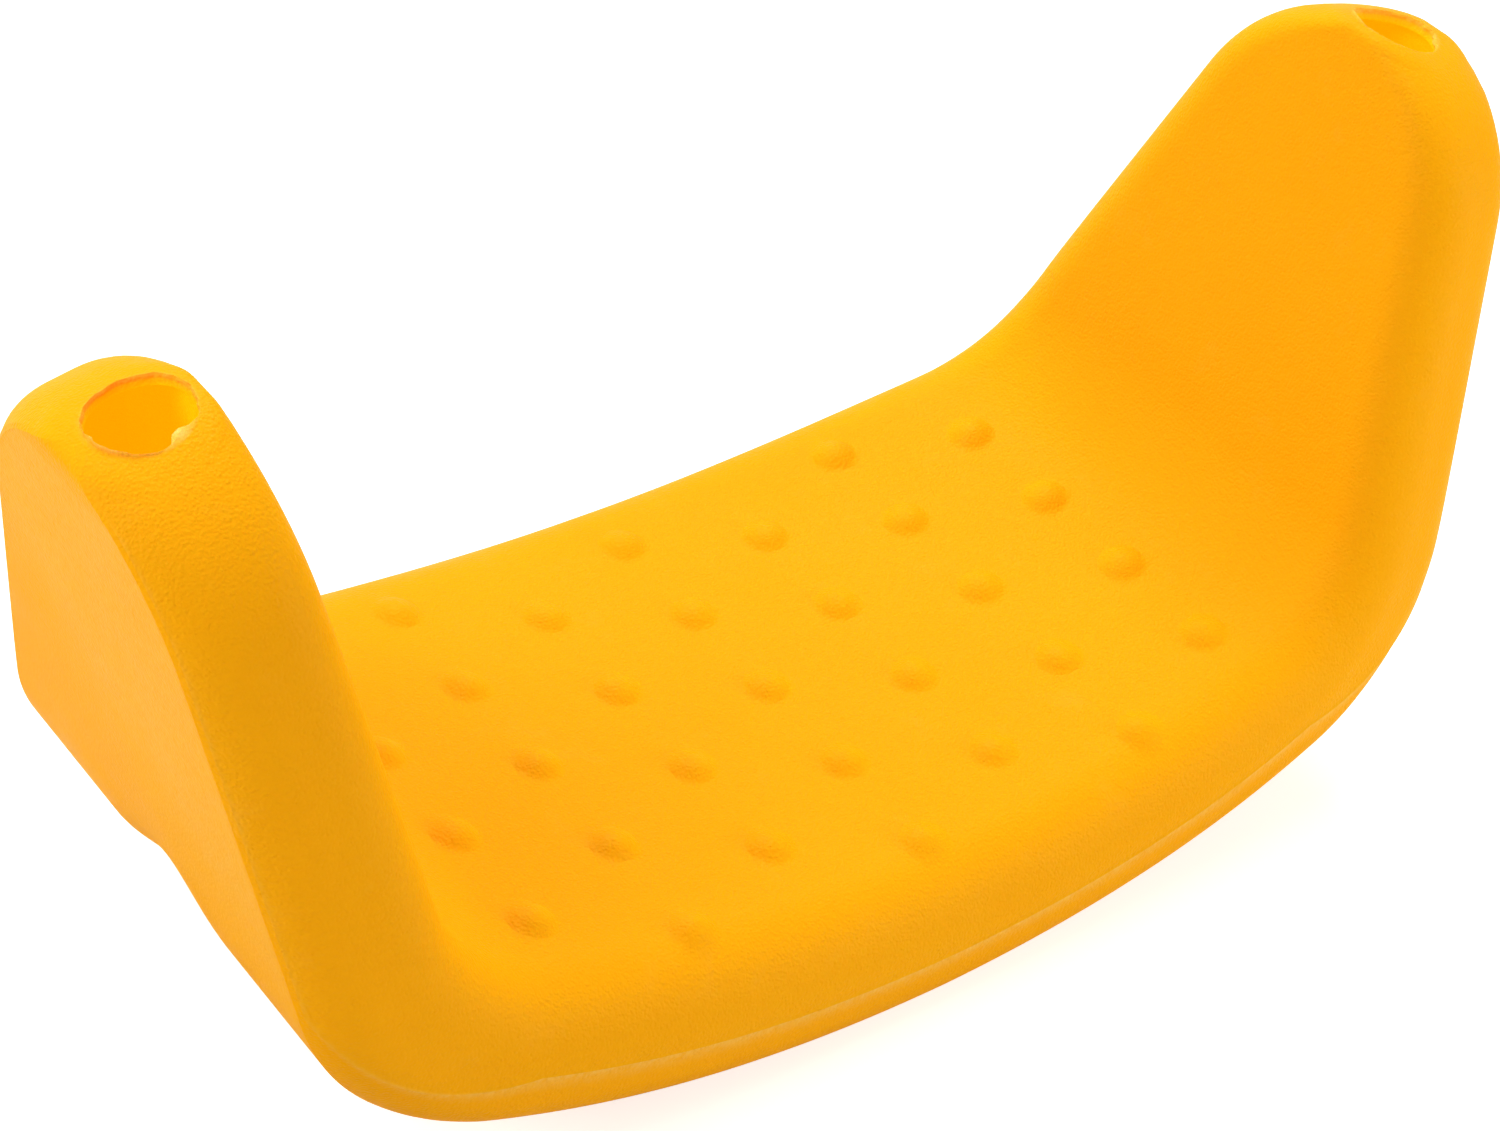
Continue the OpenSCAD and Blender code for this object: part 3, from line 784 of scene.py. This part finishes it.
links.new(nodes.new("ShaderNodeTexCoord").outputs["Object"], spot.inputs[0])
fade = nodes.new("ShaderNodeMapRange")
fade.interpolation_type = "SMOOTHSTEP"
for name, value in zip(("From Min", "From Max", "To Min", "To Max"), GLOW_REACH + FLOOR_GLOW):
    fade.inputs[name].default_value = value
links.new(spot.outputs["Value"], fade.inputs["Value"])
glow = nodes.new("ShaderNodeMath")
glow.operation = "MULTIPLY"
links.new(nodes.new("ShaderNodeLightPath").outputs["Is Camera Ray"], glow.inputs[0])
links.new(fade.outputs["Result"], glow.inputs[1])
links.new(glow.outputs[0], shader.inputs["Emission Strength"])
under = nodes.new("ShaderNodeMixShader")
links.new(nodes.new("ShaderNodeNewGeometry").outputs["Backfacing"], under.inputs[0])
links.new(shader.outputs[0], under.inputs[1])
links.new(nodes.new("ShaderNodeBsdfTransparent").outputs[0], under.inputs[2])
links.new(under.outputs[0], nodes["Material Output"].inputs["Surface"])
floor_mesh.materials.append(paper)
floor = bpy.data.objects.new("studio_floor", floor_mesh)
bpy.context.scene.collection.objects.link(floor)


# Studio light: a white room whose own light is dim and warm, and large soft lamps above the back,
# to the left and low in front on the right.
ROOM_LIGHT = (0.33, 0.255, 0.18)


def seen_directly(nodes, links):
    """1 for rays that show the background itself: from the camera, in gloss and through glass."""
    path = nodes.new("ShaderNodeLightPath")
    total = path.outputs["Is Camera Ray"]
    for name in ("Is Glossy Ray", "Is Transmission Ray"):
        either = nodes.new("ShaderNodeMath")
        either.operation = "MAXIMUM"
        links.new(total, either.inputs[0])
        links.new(path.outputs[name], either.inputs[1])
        total = either.outputs[0]
    return total


world = bpy.data.worlds.new("white_room")
bpy.context.scene.world = world
world.use_nodes = True
nodes, links = world.node_tree.nodes, world.node_tree.links
background = nodes["Background"]
room = nodes.new("ShaderNodeMix")
room.data_type = "RGBA"
room.inputs["A"].default_value = (*ROOM_LIGHT, 1)
room.inputs["B"].default_value = (1, 1, 1, 1)
links.new(seen_directly(nodes, links), room.inputs["Factor"])
links.new(room.outputs["Result"], background.inputs["Color"])


def soft_lamp(name, place, aim, size, power):
    """Square area lamp at a place, turned to face a point."""
    lamp = bpy.data.lights.new(name, "AREA")
    lamp.shape = "SQUARE"
    lamp.size = size
    lamp.energy = power
    holder = bpy.data.objects.new(name, lamp)
    back = np.array(place, float) - np.array(aim, float)
    back /= np.linalg.norm(back)
    right = np.cross((0.0, 1.0, 0.0), back)
    right /= np.linalg.norm(right)
    axes = np.stack([right, np.cross(back, right), back], 1)
    holder.matrix_world = Matrix([[*row, at] for row, at in zip(axes, place)] + [[0, 0, 0, 1]])
    bpy.context.scene.collection.objects.link(holder)


SEAT_MIDDLE = (0.0, 0.0, 0.08)
soft_lamp("key_lamp", place=(0.35, 0.75, 1.2), aim=SEAT_MIDDLE, size=0.9, power=15.0)
soft_lamp("left_lamp", place=(-1.15, 0.15, 1.0), aim=SEAT_MIDDLE, size=0.9, power=13.0)
soft_lamp("front_lamp", place=(0.75, -0.8, 0.36), aim=(0.1, 0.0, 0.08), size=0.6, power=6.2)


# Camera: looks down from the front left, as in the photo, with a long lens and a slight roll. The
# focus is in pixels of the photo, and the shift is how far right and up of its axis the origin is.
CAMERA_AZIMUTH = np.radians(43.368)
CAMERA_HEIGHT = np.radians(38.72)
CAMERA_ROLL = np.radians(9.997)
CAMERA_FOCUS = 3345.1
CAMERA_SHIFT = (-0.00323, -0.06242)
CAMERA_DISTANCE = 0.91099
SENSOR_WIDTH = 36.0
PHOTO_WIDTH = 1500
forward = np.array([np.sin(CAMERA_AZIMUTH) * np.cos(CAMERA_HEIGHT),
                    np.cos(CAMERA_AZIMUTH) * np.cos(CAMERA_HEIGHT), -np.sin(CAMERA_HEIGHT)])
level = np.array([np.cos(CAMERA_AZIMUTH), -np.sin(CAMERA_AZIMUTH), 0])
upright = np.cross(level, forward)
cam_right = level * np.cos(CAMERA_ROLL) + upright * np.sin(CAMERA_ROLL)
cam_up = upright * np.cos(CAMERA_ROLL) - level * np.sin(CAMERA_ROLL)
stand = -forward * CAMERA_DISTANCE - cam_right * CAMERA_SHIFT[0] - cam_up * CAMERA_SHIFT[1]
camera = bpy.data.cameras.new("photo_camera")
camera.sensor_fit = "HORIZONTAL"
camera.sensor_width = SENSOR_WIDTH
camera.lens = CAMERA_FOCUS / PHOTO_WIDTH * SENSOR_WIDTH
camera.clip_start = 0.01
viewer = bpy.data.objects.new("photo_camera", camera)
axes = np.stack([cam_right, cam_up, -forward], 1)
viewer.matrix_world = Matrix([[*row, at] for row, at in zip(axes, stand)] + [[0, 0, 0, 1]])
bpy.context.scene.collection.objects.link(viewer)
bpy.context.scene.camera = viewer
bpy.context.scene.view_settings.view_transform = "Standard"

bpy.context.view_layer.update()
